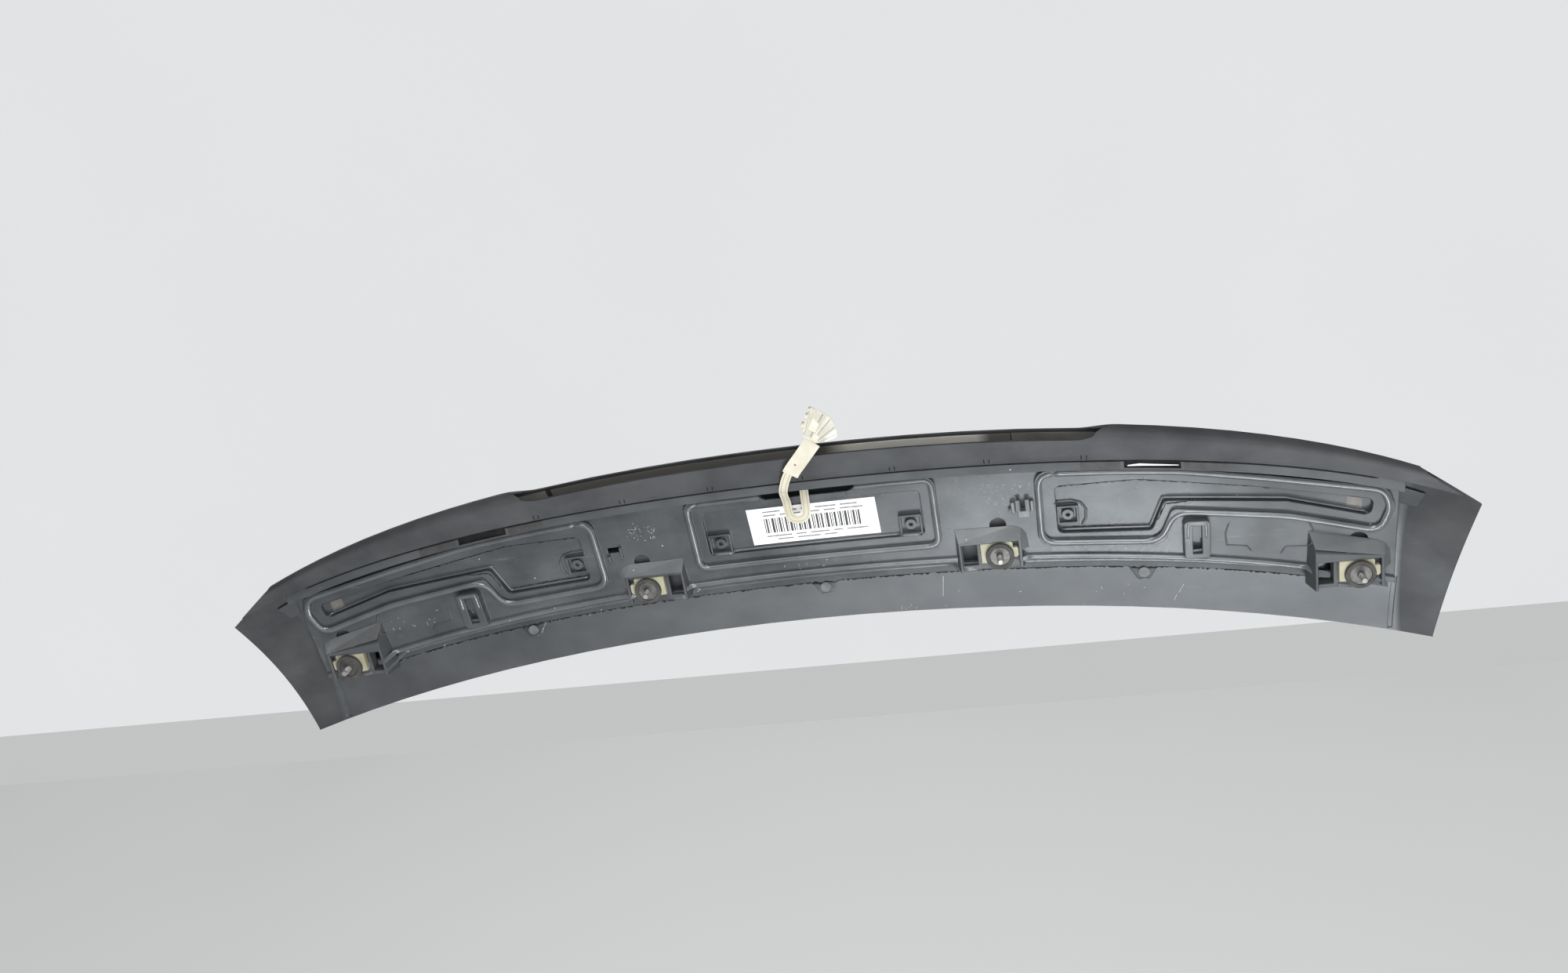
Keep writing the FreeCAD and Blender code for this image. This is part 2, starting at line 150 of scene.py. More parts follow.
def bump(tree, bsdf, height, strength, distance, edge=0.0):
    n = node(tree, "ShaderNodeBump", Strength=strength, Distance=distance)
    tree.links.new(height, n.inputs["Height"])
    if edge:
        soften = node(tree, "ShaderNodeBevel", Radius=edge, samples=6)
        tree.links.new(soften.outputs[0], n.inputs["Normal"])
    tree.links.new(n.outputs[0], bsdf.inputs["Normal"])


def speckMask(tree, scale, size, share):
    v = node(tree, "ShaderNodeTexVoronoi", Scale=scale)
    tree.links.new(objectCoord(tree), v.inputs["Vector"])
    near = math2(tree, "LESS_THAN", v.outputs["Distance"], size)
    sep = tree.nodes.new("ShaderNodeSeparateColor")
    tree.links.new(v.outputs["Color"], sep.inputs[0])
    return math2(tree, "MULTIPLY", near, math2(tree, "LESS_THAN", sep.outputs[0], share))


# noise settings are scale, detail, stretch and roughness
wear = {"tone": (26.0, 6.0), "toneStops": (0.32, 0.7),
        "dust": (9.0, 5.0, (1, 2, 1)), "dustStops": (0.42, 0.75), "dustColor": (0.30, 0.31, 0.315),
        "rub": (60.0, 5.0, (0.25, 2.2, 1), 0.7), "rubStops": (0.64, 0.74), "rubColor": (0.36, 0.365, 0.37),
        "speck": (150.0, 0.09), "speckShow": 0.8, "speckColor": (0.62, 0.62, 0.6),
        "shine": (14.0, 5.0), "shineStops": (0.3, 0.75), "shineSpread": (-0.06, 0.12),
        "sheen": (0.88, 0.95, 1.0, 1.0), "grain": (1100.0, 3.0), "grainBump": (0.12, 0.0002)}


def plastic(name, dark, light, rough, dust, streaks, specks, edge, gloss):
    mat, tree, bsdf = newMat(name)
    low, high = wear["toneStops"]
    base = ramp(tree, noise(tree, *wear["tone"]), (low, dark), (high, light))
    cloud = remap(tree, noise(tree, *wear["dust"]), *wear["dustStops"], 0.0, dust)
    base = mixColor(tree, cloud, base, wear["dustColor"])
    rub = remap(tree, noise(tree, *wear["rub"]), *wear["rubStops"], 0.0, streaks)
    base = mixColor(tree, rub, base, wear["rubColor"])
    speck = math2(tree, "MULTIPLY", speckMask(tree, *wear["speck"], specks), wear["speckShow"])
    base = mixColor(tree, speck, base, wear["speckColor"])
    tree.links.new(base, bsdf.inputs["Base Color"])
    less, more = wear["shineSpread"]
    shine = remap(tree, noise(tree, *wear["shine"]), *wear["shineStops"], rough + less, rough + more)
    tree.links.new(shine, bsdf.inputs["Roughness"])
    bsdf.inputs["Specular IOR Level"].default_value = gloss
    bsdf.inputs["Specular Tint"].default_value = wear["sheen"]  # cool sheen
    bump(tree, bsdf, noise(tree, *wear["grain"]), *wear["grainBump"], edge)
    return mat


skinLook = {"dark": (0.038, 0.039, 0.042), "light": (0.058, 0.060, 0.064), "rough": 0.34, "dust": 0.10,
            "streaks": 0.08, "specks": 0.006, "edge": 0.0008, "gloss": 1.0}
shellLook = {"dark": (0.040, 0.043, 0.046), "light": (0.068, 0.072, 0.077), "rough": 0.25, "dust": 0.14,
             "streaks": 0.20, "specks": 0.06, "edge": 0.0013, "gloss": 0.50}
# black shell plastic painted lighter: a painted highlight on the beads, fillets, ear edges, socket frames and
# prong clip
paintedHighlightLook = {"dark": (0.066, 0.069, 0.073), "light": (0.105, 0.109, 0.114), "rough": 0.17, "dust": 0.12,
            "streaks": 0.20, "specks": 0.04, "edge": 0.0008, "gloss": 1.0}
# tower roofs are the black shell moulding painted lighter, a painted sheen
roofSheenLook = {"dark": (0.085, 0.088, 0.092), "light": (0.13, 0.135, 0.14), "rough": 0.32, "dust": 0.12,
            "streaks": 0.20, "specks": 0.05, "edge": 0.0008, "gloss": 0.6}
skinMat = plastic("skin_grey", **skinLook)
shellMat = plastic("shell_black", **shellLook)
paintedHighlightMat = plastic("bead_gloss_painted_highlight", **paintedHighlightLook)
roofSheenMat = plastic("tower_roof", **roofSheenLook)

# rear band and ends are duller than the rest, and their colour is mixed towards band dark as painted shade,
# edge is the band's curve in metres
band = {"edge": (-0.1054, 0.0247, 0.0213), "half": 0.5, "dark": (0.012, 0.012, 0.012)}
skinDullAndShade = {"shift": 0.004, "end": 0.514, "fade": 0.005, "gloss": 0.22, "matt": 0.16, "shade": 0.10}
shellDullAndShade = {"shift": 0.0112, "end": 0.30, "fade": 0.10, "gloss": 0.42, "matt": 0.16, "shade": 0.12}


def sourceOf(bsdf, socketName):
    return bsdf.inputs[socketName].links[0].from_socket


def dullAndShadeBand(mat, look, zone):
    tree, bsdf = shaderOf(mat)
    x, y = objectAxes(tree)
    far = math2(tree, "DIVIDE", x, band["half"])
    u = math2(tree, "MULTIPLY", far, far)
    c0, c2, c4 = band["edge"]
    bend = math2(tree, "ADD", math2(tree, "MULTIPLY", u, c4), c2)
    line = math2(tree, "ADD", math2(tree, "MULTIPLY", u, bend), c0)
    rear = math2(tree, "LESS_THAN", y, math2(tree, "ADD", line, zone["shift"]))
    out = math2(tree, "ABSOLUTE", x, 0.0)
    ends = remap(tree, out, zone["end"], zone["end"] + zone["fade"], 0.0, 1.0)
    mask = math2(tree, "MAXIMUM", rear, ends)
    gloss = remap(tree, mask, 0.0, 1.0, look["gloss"], zone["gloss"])
    tree.links.new(gloss, bsdf.inputs["Specular IOR Level"])
    matt = math2(tree, "MULTIPLY", mask, zone["matt"])
    rough = math2(tree, "ADD", sourceOf(bsdf, "Roughness"), matt)
    tree.links.new(rough, bsdf.inputs["Roughness"])
    # painted shade: the rear band and end zones are darkened towards band dark
    shade = math2(tree, "MULTIPLY", mask, zone["shade"])
    base = mixColor(tree, shade, sourceOf(bsdf, "Base Color"), band["dark"])
    tree.links.new(base, bsdf.inputs["Base Color"])


dullAndShadeBand(skinMat, skinLook, skinDullAndShade)
dullAndShadeBand(shellMat, shellLook, shellDullAndShade)

softStyle = {"stops": (0.3, 0.72), "detail": 5.0, "finer": 2.3, "fineDetail": 4.0, "fineStops": (0.3, 0.7),
             "spread": 0.08, "scatter": (0.004, 0.003, 0.002), "grain": (900.0, 3.0), "deep": 0.0002}


def soft(name, dark, light, rough, scale, grain, metal=0.0, glow=0.0):
    mat, tree, bsdf = newMat(name)
    low, high = softStyle["stops"]
    color = ramp(tree, noise(tree, scale, softStyle["detail"]), (low, dark), (high, light))
    tree.links.new(color, bsdf.inputs["Base Color"])
    fine = noise(tree, scale * softStyle["finer"], softStyle["fineDetail"])
    spread = softStyle["spread"]
    shine = remap(tree, fine, *softStyle["fineStops"], rough - spread, rough + spread)
    tree.links.new(shine, bsdf.inputs["Roughness"])
    bsdf.inputs["Metallic"].default_value = metal
    bsdf.inputs["Subsurface Weight"].default_value = glow
    bsdf.inputs["Subsurface Radius"].default_value = softStyle["scatter"]
    bump(tree, bsdf, noise(tree, *softStyle["grain"]), grain, softStyle["deep"])
    return mat


# dark and light colour, roughness, noise scale, grain, metal, inner glow
clipMat = soft("clip_pale", (0.25, 0.24, 0.16), (0.36, 0.35, 0.25), 0.42, 60.0, 0.08, 0.0, 0.08)
steelMat = soft("zinc_steel", (0.10, 0.10, 0.098), (0.20, 0.20, 0.195), 0.56, 160.0, 0.25, 1.0)
studMat = soft("stud_steel", (0.22, 0.22, 0.215), (0.40, 0.40, 0.39), 0.50, 200.0, 0.25, 0.6)
rubberMat = soft("seal_rubber", (0.030, 0.029, 0.028), (0.070, 0.067, 0.062), 0.78, 90.0, 0.30)
ivoryMat = soft("connector_ivory", (0.46, 0.44, 0.35), (0.60, 0.58, 0.49), 0.38, 70.0, 0.06, 0.0, 0.15)
# weld stakes are black moulding painted lighter, a painted highlight
stakeHighlightMat = soft("stake_black_painted_highlight", (0.080, 0.083, 0.086), (0.16, 0.165, 0.17), 0.42, 120.0, 0.15)
paperAndHighlightMat = soft("label_paper", (0.90, 0.90, 0.90), (0.96, 0.96, 0.955), 0.55, 40.0, 0.05)
inkMat = soft("label_ink", (0.020, 0.020, 0.022), (0.045, 0.045, 0.048), 0.55, 200.0, 0.03)
greyInkMat = soft("label_grey_ink", (0.16, 0.16, 0.165), (0.30, 0.30, 0.305), 0.6, 200.0, 0.03)
meltMat = soft("weld_flash", (0.006, 0.006, 0.007), (0.030, 0.031, 0.032), 0.55, 260.0, 0.4)
gapAndSlotShadeMat = soft("seam_gap", (0.006, 0.006, 0.007), (0.018, 0.018, 0.019), 0.7, 120.0, 0.1)
scuffMat = soft("scuff_pale", (0.30, 0.30, 0.30), (0.55, 0.55, 0.54), 0.7, 400.0, 0.1)
plainFilmMat = soft("film_plain", (0.50, 0.47, 0.37), (0.68, 0.66, 0.57), 0.36, 36.0, 0.05)
tabMat = soft("flange_tab", (0.022, 0.022, 0.023), (0.045, 0.045, 0.046), 0.55, 90.0, 0.15)
recessMat = soft("recess_brown", (0.16, 0.155, 0.145), (0.30, 0.29, 0.27), 0.6, 30.0, 0.1)
insertMat = soft("insert_brown", (0.090, 0.086, 0.078), (0.150, 0.143, 0.130), 0.45, 70.0, 0.1)
coverMat = soft("cover_clear", (0.46, 0.45, 0.37), (0.62, 0.61, 0.53), 0.22, 60.0, 0.05)
stripMat = soft("strip_cream", (0.80, 0.78, 0.68), (0.95, 0.94, 0.86), 0.4, 24.0, 0.05)
deadGloss = 0.12  # weld flash and gaps hardly shine
for deadMat in (meltMat, gapAndSlotShadeMat):
    shaderOf(deadMat)[1].inputs["Specular IOR Level"].default_value = deadGloss
coverAlpha = 0.72
shaderOf(coverMat)[1].inputs["Alpha"].default_value = coverAlpha

filmLook = {"tone": (30.0, 5.0), "dark": (0.35, (0.50, 0.47, 0.36)), "light": (0.7, (0.66, 0.64, 0.54)),
            "traces": 4.0, "traceEdge": (-0.72, -0.86), "traceShow": 0.6, "traceColor": (0.26, 0.23, 0.15),
            "shine": 45.0, "shineStops": (0.3, 0.7), "rough": (0.25, 0.42)}


def printedFilm(name):
    mat, tree, bsdf = newMat(name)
    base = ramp(tree, noise(tree, *filmLook["tone"]), filmLook["dark"], filmLook["light"])
    coord = tree.nodes.new("ShaderNodeUVMap")
    coord.uv_map = "across"
    sep = tree.nodes.new("ShaderNodeSeparateXYZ")
    tree.links.new(coord.outputs[0], sep.inputs[0])
    turns = math2(tree, "MULTIPLY", sep.outputs[0], filmLook["traces"] * math.pi)
    wave = math2(tree, "COSINE", turns, 0.0)
    trace = remap(tree, wave, *filmLook["traceEdge"], 0.0, filmLook["traceShow"])
    base = mixColor(tree, trace, base, filmLook["traceColor"])
    tree.links.new(base, bsdf.inputs["Base Color"])
    shine = remap(tree, noise(tree, filmLook["shine"]), *filmLook["shineStops"], *filmLook["rough"])
    tree.links.new(shine, bsdf.inputs["Roughness"])
    return mat


filmMat = printedFilm("film_cream")
stripPaintedShade = {"bright": (0.025, 0.045, 0.160, 0.172), "dull": (0.20, 0.195, 0.175)}  # painted shade outside the bright span, bright from x to x


# painted shade: the film is darkened outside its bright span, where the recess shades it
def shadeStripEnds(mat):
    tree, bsdf = shaderOf(mat)
    x = objectAxes(tree)[0]
    x0, x1, x2, x3 = stripPaintedShade["bright"]
    rise = remap(tree, x, x0, x1, 1.0, 0.0)
    fall = remap(tree, x, x2, x3, 0.0, 1.0)
    mask = math2(tree, "MAXIMUM", rise, fall)
    base = mixColor(tree, mask, sourceOf(bsdf, "Base Color"), stripPaintedShade["dull"])
    tree.links.new(base, bsdf.inputs["Base Color"])


shadeStripEnds(stripMat)
print("stage: materials made")


def setMat(name, mat, slotName):
    obj = nodes[name]
    if not obj.data.materials:
        obj.data.materials.append(mat)
    for i in range(len(obj.data.materials)):
        obj.data.materials[i] = mat


def addObject(name, mesh, mat):
    mesh.materials.append(mat)
    obj = bpy.data.objects.new(name, mesh)
    scene.collection.objects.link(obj)
    return obj


def makeMesh(name, verts, faces, mat, smooth=True):
    mesh = bpy.data.meshes.new(name)
    mesh.from_pydata([tuple(c * mm for c in v) for v in verts], [], faces)
    mesh.update()
    for p in mesh.polygons:
        p.use_smooth = smooth
    return addObject(name, mesh, mat)


def makePiece(name, verts, faces, mat, smooth=True):
    obj = makeMesh(name, verts, faces, mat, smooth)
    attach(obj, "root")
    return obj


def softBlock(name, bm, soften, mat):
    bmesh.ops.recalc_face_normals(bm, faces=bm.faces)
    bmesh.ops.bevel(bm, geom=list(bm.edges), offset=soften * mm, segments=2, affect="EDGES",
                    clamp_overlap=True)
    mesh = bpy.data.meshes.new(name)
    bm.to_mesh(mesh)
    bm.free()
    obj = addObject(name, mesh, mat)
    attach(obj, "root")
    return obj


def joinRow(verts, faces):
    k = len(verts) - 4  # last two rows of two points
    faces.append((k, k + 1, k + 3, k + 2))


lead = {"route": ((-2.5, -88, 4.85), (-2.5, -78, 2.6), (-2.5, -69, 1.15), (-3.4, -60.6, 1.05),
                  (-11, -57.6, 1.05), (-18.6, -60.6, 1.05), (-19.6, -69, 1.1), (-19.3, -78, -0.6),
                  (-18.8, -88, -11.5), (-17.4, -97, -22.0), (-12.8, -109, -26.2), (-7.0, -119, -29.0),
                  (2.0, -129, -30.6), (9.5, -137.5, -31.3), (17, -146, -31.8)),
        "order": 3, "steps": 10, "width": 8.0, "thick": 0.4, "wideFrom": 0.73, "tab": (9.5, 5.5),
        "tabThick": 0.6, "hole": (-0.6, -124.6, -30.35, 1.1), "holePoints": 21, "holeTurn": 0.3}


def leadLine():
    curve = bpy.data.curves.new("leadLine", "CURVE")
    curve.dimensions = "3D"
    curve.resolution_u = lead["steps"]
    spline = curve.splines.new("NURBS")
    spline.points.add(len(lead["route"]) - 1)
    for point, place in zip(spline.points, lead["route"]):
        point.co = tuple(c * mm for c in place) + (1.0,)
    spline.order_u = lead["order"]
    spline.use_endpoint_u = True
    mesh = bpy.data.meshes.new_from_object(bpy.data.objects.new("leadLine", curve))
    return [v.co.copy() for v in mesh.vertices]


def ribbon(name, path, sideOut, sideIn, thick, mat):
    last = len(path) - 1
    verts, faces, across = [], [], []
    run = [0.0]
    for a, b in zip(path, path[1:]):
        run.append(run[-1] + (b - a).length)
    for i, p in enumerate(path):
        ahead = (path[min(i + 1, last)] - path[max(i - 1, 0)]).normalized()
        side = ahead.cross(Vector((0, 0, 1))).normalized() * mm
        up = side.cross(ahead).normalized() * thick * mm / 2
        left, right = p - side * sideOut, p + side * sideIn
        for q in (left + up, right + up, right - up, left - up):
            verts.append(tuple(c / mm for c in q))
        across += [-sideOut, sideIn, sideIn, -sideOut]
        if i:
            k = 4 * (i - 1)
            for j in range(4):
                m = (j + 1) % 4
                faces.append((k + j, k + m, k + 4 + m, k + 4 + j))
    n = len(verts)
    faces += [(3, 2, 1, 0), (n - 4, n - 3, n - 2, n - 1)]
    obj = makePiece(name, verts, faces, mat, False)
    uv = obj.data.uv_layers.new(name="across")
    wide = lead["width"]
    for loop in obj.data.loops:
        v = loop.vertex_index
        uv.data[loop.index].uv = (across[v] / wide, run[v // 4] / mm / wide)
    return obj, run


def tabHole():
    x, y, z, r = lead["hole"]
    count = lead["holePoints"]
    turns = [lead["holeTurn"] * i for i in range(count)]
    ring = [(x + r * math.cos(a), y + r * math.sin(a), z) for a in turns]
    return makePiece("film_lead_hole", ring, [tuple(range(count))], insertMat, False)


leadPath = leadLine()
leadHalf = lead["width"] / 2
leadObj, leadRun = ribbon("film_lead_ribbon", leadPath, leadHalf, leadHalf, lead["thick"], filmMat)
wideFrom = next(i for i, s in enumerate(leadRun) if s > lead["wideFrom"] * leadRun[-1])
tabObj = ribbon("film_lead_tab", leadPath[wideFrom:], *lead["tab"], lead["tabThick"], plainFilmMat)[0]
print("lead length", round(leadRun[-1], 4))
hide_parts("film_lead")

# outlines are along and across the connector, from the end of the lead
plug = {"start": (17.0, -146.0), "along": (0.523, -0.852),
        "body": ((1, -8.5), (1, 5.5), (8, 5.5), (9, 3.5), (19, 3.5), (28, -6.0), (28.5, -9.0), (28.5, -14.0),
                 (25.5, -14.0), (25.5, -12.0), (22.0, -12.0), (22.0, -14.0), (18.5, -14.0), (18.5, -12.0),
                 (13.0, -12.0), (13.0, -14.0), (9.5, -14.0), (9.5, -11.0), (6.0, -11.0), (6.0, -8.5)),
        "bodyZ": (-35.2, -29.2), "bodySoft": 0.5,
        "ridge": ((10, -7.5), (10, 0.5), (19, 0.5), (23, -7.5)), "ridgeZ": (-36.3, -34.2), "ridgeSoft": 0.6}
cover = {"corners": ((30.0, -12.5), (13.0, 20.0), (2.5, 9.5), (4.0, -7.0)), "rows": 6, "cols": 20,
         "thick": 0.5, "z": -36.2, "rise": 3.2, "swell": (6.0, 3.5), "wave": 0.9, "waves": 2.5, "calm": 0.6,
         "lines": (0.3, 0.52, 0.74, 0.92), "lineRows": 9, "lineStart": 0.04, "lineStep": 0.115,
         "lineHalf": (0.15, 0.3), "lineUp": 0.1}


def plugPoint(s, w, z):
    ax, ay = plug["along"]
    return (plug["start"][0] + ax * s - ay * w, plug["start"][1] + ay * s + ax * w, z)


def plugPrism(name, outline, heights, soften, mat):
    low, high = heights
    bm = bmesh.new()
    ring = [bm.verts.new([c * mm for c in plugPoint(s, w, low)]) for s, w in outline]
    grown = bmesh.ops.extrude_face_region(bm, geom=[bm.faces.new(ring)])
    bmesh.ops.translate(bm, verts=[v for v in grown["geom"] if isinstance(v, bmesh.types.BMVert)],
                        vec=(0, 0, (high - low) * mm))
    return softBlock(name, bm, soften, mat)


def between(a, b, t):
    return [(1 - t) * p + t * q for p, q in zip(a, b)]


def coverPoint(u, v):
    c = cover["corners"]
    s, w = between(between(c[0], c[1], u), between(c[3], c[2], u), v)
    swell = math.sin(math.pi * u) * (1 - v)
    wave = cover["wave"] * abs(math.sin(cover["waves"] * math.pi * u)) * (1.0 - cover["calm"] * v)
    z = cover["z"] + cover["rise"] * u * u + wave
    return s + cover["swell"][0] * swell, w + cover["swell"][1] * swell, z


def plugCover():
    rows, cols = cover["rows"], cover["cols"]
    verts, faces = [], []
    for layer in (0.0, cover["thick"]):
        for i in range(rows + 1):
            for j in range(cols + 1):
                s, w, z = coverPoint(j / cols, i / rows)
                verts.append(plugPoint(s, w, z + layer))
    step = cols + 1
    half = (rows + 1) * step
    for i in range(rows):
        for j in range(cols):
            k = i * step + j
            faces.append((k, k + 1, k + step + 1, k + step))
            faces.append((half + k, half + k + step, half + k + step + 1, half + k + 1))
    rim = list(range(cols + 1)) + [i * step + cols for i in range(1, rows + 1)]
    rim += [rows * step + j for j in range(cols - 1, -1, -1)] + [i * step for i in range(rows - 1, 0, -1)]
    for a, b in zip(rim, rim[1:] + rim[:1]):
        faces.append((a, half + a, half + b, b))
    return makePiece("connector_cover", verts, faces, coverMat, False)


def coverLines():
    verts, faces = [], []
    ds, dw = cover["lineHalf"]
    for u in cover["lines"]:
        for i in range(cover["lineRows"]):
            s, w, z = coverPoint(u, cover["lineStart"] + cover["lineStep"] * i)
            z -= cover["lineUp"]
            verts += [plugPoint(s - ds, w - dw, z), plugPoint(s + ds, w + dw, z)]
            if i:
                joinRow(verts, faces)
    return makePiece("connector_lines", verts, faces, insertMat, False)


plugObj = plugPrism("connector_body", plug["body"], plug["bodyZ"], plug["bodySoft"], ivoryMat)
ridgeObj = plugPrism("connector_ridge", plug["ridge"], plug["ridgeZ"], plug["ridgeSoft"], ivoryMat)
coverObj = plugCover()
linesObj = coverLines()
holeObj = tabHole()
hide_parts("lead_connector")
print("stage: lead made")

kindMats = {"clip": (clipMat, "pale_plastic"), "washer": (steelMat, "steel"), "stud": (steelMat, "steel"),
            "seal": (rubberMat, "rubber")}
nodeMats = {"outer_skin": (skinMat, "paint"), "inner_shell": (shellMat, "black_moulding"),
            "weld_stakes": (stakeHighlightMat, "black_moulding"), "locating_clip_right": (shellMat, "black_moulding"),
            "antenna_film": (stripMat, "film"), "label": (paperAndHighlightMat, "paper")}
for name in nodes:
    kind = name.split("_")[0]
    if kind in kindMats:
        setMat(name, *kindMats[kind])
for name, look in nodeMats.items():
    setMat(name, *look)

stud = {"radius": 3.0, "depth": 0.35, "wave": (0.0, 0.5, 1.0, 0.5), "pitch": 1.0, "turns": 11, "out": 12.0,
        "round": 40, "tip": ((0.0, 1.9), (0.05, 2.2)), "start": 0.4, "taper": (2.45, 2.55, 2.65, 2.75),
        "core": 2.7, "plainRows": 6}


def threadStud(name):
    low, high = [[c / mm for c in corner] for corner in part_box(name)]
    cx, cy = (low[0] + high[0]) / 2, (low[1] + high[1]) / 2
    verts, faces = [], []
    n = stud["round"]
    perTurn = len(stud["wave"])
    rows = [(low[2] + up, r) for up, r in stud["tip"]]
    for i in range(stud["turns"] * perTurn):
        z = low[2] + stud["start"] + i * stud["pitch"] / perTurn
        deep = stud["wave"][i % perTurn] * stud["depth"]
        rows.append((z, stud["taper"][i] if i < len(stud["taper"]) else stud["radius"] - deep))
    rows += [(low[2] + stud["out"], stud["core"]), (high[2], stud["core"])]
    plain = stud["plainRows"]
    for j, (z, r) in enumerate(rows):
        for k in range(n):
            lift = stud["pitch"] * k / n if plain <= j < len(rows) - plain else 0.0
            a = 2 * math.pi * k / n
            verts.append((cx + r * math.cos(a), cy + r * math.sin(a), z + lift))
    for j in range(len(rows) - 1):
        for k in range(n):
            m = (k + 1) % n
            faces.append((j * n + k, j * n + m, j * n + n + m, j * n + n + k))
    faces.append(tuple(range(n))[::-1])
    faces.append(tuple(range(len(verts) - n, len(verts))))
    obj = makePiece("thread_" + name, verts, faces, studMat, False)
    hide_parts(name)


clip = {"edge": ((-17.2, -13.3), (11.2, -13.3), (12.6, -12.0), (12.6, -7.0), (16.4, -7.0), (17.3, -5.6),
                 (17.3, 1.6), (16.0, 3.0)),
        "heel": (-17.2, 6.4), "round": 12.4, "arc": range(14, 149, 6), "bore": 3.3, "soft": 0.45, "steps": 48}
nearZero = 1e-9
slack = 1e-6


def reach(ring, angle):
    dx, dy = math.cos(angle), math.sin(angle)
    best = 0.0
    for (x0, y0), (x1, y1) in zip(ring, ring[1:] + ring[:1]):
        ex, ey = x1 - x0, y1 - y0
        det = dx * -ey + dy * ex
        if abs(det) > nearZero:
            t = (x0 * -ey + y0 * ex) / det
            k = (dx * y0 - dy * x0) / det
            if t > 0 and -slack <= k <= 1 + slack:
                best = max(best, t)
    return best


def slideClip(name):
    low, high = [[c / mm for c in corner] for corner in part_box(name)]
    cx, cy = (low[0] + high[0]) / 2, (low[1] + high[1]) / 2
    side = 1 if cx > 0 else -1
    arc = [math.radians(a) for a in clip["arc"]]
    ring = list(clip["edge"])
    ring += [(clip["round"] * math.cos(a), clip["round"] * math.sin(a)) for a in arc]
    ring.append(clip["heel"])
    turns = [math.atan2(y, x) for x, y in ring]
    turns = sorted(turns + [math.pi * (2 * i / clip["steps"] - 1) for i in range(clip["steps"])])
    verts, faces = [], []
    n = len(turns)
    soften = clip["soft"]
    z0, z1 = low[2], high[2]
    rows = ((None, z0), (soften, z0), (0.0, z0 + soften), (0.0, z1 - soften), (soften, z1), (None, z1))
    for cut, z in rows:
        for a in turns:
            d = clip["bore"] if cut is None else reach(ring, a) - cut
            verts.append((cx + side * d * math.cos(a), cy + d * math.sin(a), z))
    for j in range(len(rows)):
        m = (j + 1) % len(rows)
        for k in range(n):
            q = (k + 1) % n
            face = (j * n + k, j * n + q, m * n + q, m * n + k)
            faces.append(face if side < 0 else face[::-1])
    obj = makePiece("slide_" + name, verts, faces, clipMat, False)
    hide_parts(name)


for name in list(nodes):
    if name.startswith("stud_"):
        threadStud(name)
for name in list(nodes):
    if name.startswith("clip_"):
        slideClip(name)
print("stage: studs and clips made")

# each block: x and y at the low end, z, x and y at the high end
prong = {"blocks": (((189.4, 200.4), (-47.0, -40.4), (-8.4, 1.0), (189.4, 200.4), (-47.0, -40.4)),
                    ((187.6, 191.8), (-56.4, -46.6), (-4.6, -2.6), (189.2, 193.0), (-56.4, -46.6)),
                    ((196.4, 201.0), (-56.4, -46.6), (-4.6, -2.6), (196.4, 200.2), (-56.4, -46.6)),
                    ((183.8, 187.4), (-54.0, -43.5), (-2.8, 1.5), (183.6, 187.6), (-54.2, -43.3)),
                    ((201.2, 204.4), (-54.0, -43.5), (-2.8, 1.5), (201.0, 204.6), (-54.2, -43.3)),
                    ((181.2, 184.0), (-46.5, -44.0), (-1.6, 1.0), (181.2, 184.0), (-46.5, -44.0))),
         "leaning": (1, 2), "tilt": 3.8, "soft": 0.35}
boxFaces = ((0, 1, 2, 3), (7, 6, 5, 4), (0, 4, 5, 1), (1, 5, 6, 2), (2, 6, 7, 3), (3, 7, 4, 0))


def prongClip():
    bm = bmesh.new()
    for i, (xs, ys, zs, xt, yt) in enumerate(prong["blocks"]):
        tilt = prong["tilt"] if i in prong["leaning"] else 0.0
        ring = []
        for z, (x0, x1), (y0, y1) in ((zs[0], xs, ys), (zs[1], xt, yt)):
            for x, y, drop in ((x0, y0, 0.0), (x1, y0, 0.0), (x1, y1, tilt), (x0, y1, tilt)):
                ring.append(bm.verts.new((x * mm, y * mm, (z - drop) * mm)))
        for face in boxFaces:
            bm.faces.new([ring[k] for k in face])
    obj = softBlock("prong_clip", bm, prong["soft"], paintedHighlightMat)
    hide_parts("locating_clip_right")


prongClip()

depsgraph = bpy.context.evaluated_depsgraph_get()
shellTree = BVHTree.FromObject(nodes["inner_shell"], depsgraph)
skinTree = BVHTree.FromObject(nodes["outer_skin"], depsgraph)
labelTree = BVHTree.FromObject(nodes["label"], depsgraph)
onShell = (shellTree,)
onBoth = (shellTree, skinTree)
chance = random.Random(7)
probeFar = 0.3  # rays start this far below or above
curveHalf = 500.0


def under(x, y, *trees):
    found = [t.ray_cast(Vector((x * mm, y * mm, -probeFar)), Vector((0, 0, 1)))[0] for t in trees]
    found = [h.z / mm for h in found if h]
    return min(found) if found else None


def even(x, c):
    u = (x / curveHalf) ** 2
    return c[0] + c[1] * u + c[2] * u * u


def along(half, step, c, off):
    return [(x, even(x, c) + off) for x in range(-half, half + 1, step)]


def mirrored(lines):
    return [list(line) for line in lines] + [[(-x, y) for x, y in line] for line in lines]


def fineLine(line, step):
    out = [line[0]]
    for (x0, y0), (x1, y1) in zip(line, line[1:]):
        n = max(int(math.hypot(x1 - x0, y1 - y0) / step), 1)
        out += [(x0 + (x1 - x0) * i / n, y0 + (y1 - y0) * i / n) for i in range(1, n + 1)]
    return out


# profile is across and up, vary is for uneven ribs, tip narrows the ends
ribForm = {"profile": ((-1.0, -0.3), (-0.6, 0.7), (0.0, 1.0), (0.6, 0.7), (1.0, -0.3)),
           "varyWidth": (-0.6, 0.9), "varyHigh": (-0.7, 0.6), "tip": (0.3, 0.2)}


